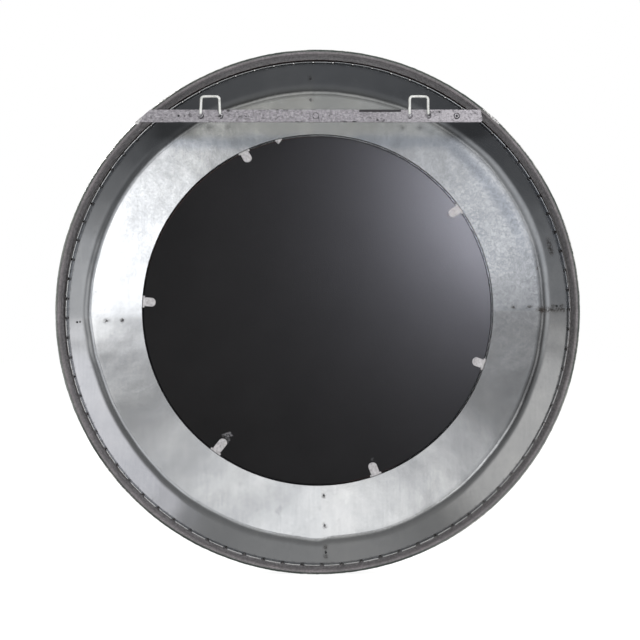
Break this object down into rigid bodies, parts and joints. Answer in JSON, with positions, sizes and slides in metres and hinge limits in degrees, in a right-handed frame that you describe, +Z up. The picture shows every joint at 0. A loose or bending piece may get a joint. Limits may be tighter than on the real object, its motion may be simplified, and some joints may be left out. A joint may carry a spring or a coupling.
{
  "type": "convex wall mirror",
  "caption": "Round convex wall mirror in a galvanised sheet dish with a wired hoop, held by bent tongues over a dark board, with a flat hanging bar and wire loops behind.",
  "frame": {"origin": "middle of the hanging bar's rear face, between its two screw holes", "axes": "+Z up, +Y towards the wall, -Y towards the room and out of the reflective face, +X to the left as seen from behind"},
  "size_m": [0.9139, 0.1305, 0.914],
  "materials": {
    "galvanised_sheet": "galvanised, soft spangle",
    "bezel_steel": "galvanised, soft spangle",
    "rim_steel": "dark gunmetal wash, worn at the edge",
    "bar_steel": "scratched silver-grey paint",
    "wire_steel": "bright zinc",
    "weld_metal": "rough weld",
    "tongue_steel": "dull zinc",
    "hardboard": "black satin hardboard with a fine grain",
    "cushion_foam": "matte foam rubber",
    "mirror_glass": "silvered glass"
  },
  "bodies": {
    "root": {"rim_hoop": "rim_steel", "rim_edge_wire": "wire_steel", "face_sheet_upper_right": "galvanised_sheet", "face_sheet_upper_left": "galvanised_sheet", "face_sheet_lower_left": "galvanised_sheet", "face_sheet_lower_right": "galvanised_sheet", "seam_spot_welds": "weld_metal", "flange_spot_welds": "weld_metal", "hanging_bar": "bar_steel", "hanging_loop_left": "wire_steel", "hanging_loop_right": "wire_steel", "loop_welds_left": "weld_metal", "loop_welds_right": "weld_metal", "bar_weld_left": "weld_metal", "bar_weld_right": "weld_metal", "backing_board": "hardboard", "glass_cushion": "cushion_foam", "mirror_glass": "mirror_glass", "bezel_ring": "bezel_steel", "retainer_stub": "tongue_steel", "retainer_tab_1": "tongue_steel", "retainer_tab_2": "tongue_steel", "retainer_tab_3": "tongue_steel", "retainer_tab_4": "tongue_steel", "retainer_tab_5": "tongue_steel", "retainer_tab_6": "tongue_steel"}
  },
  "joints": []
}
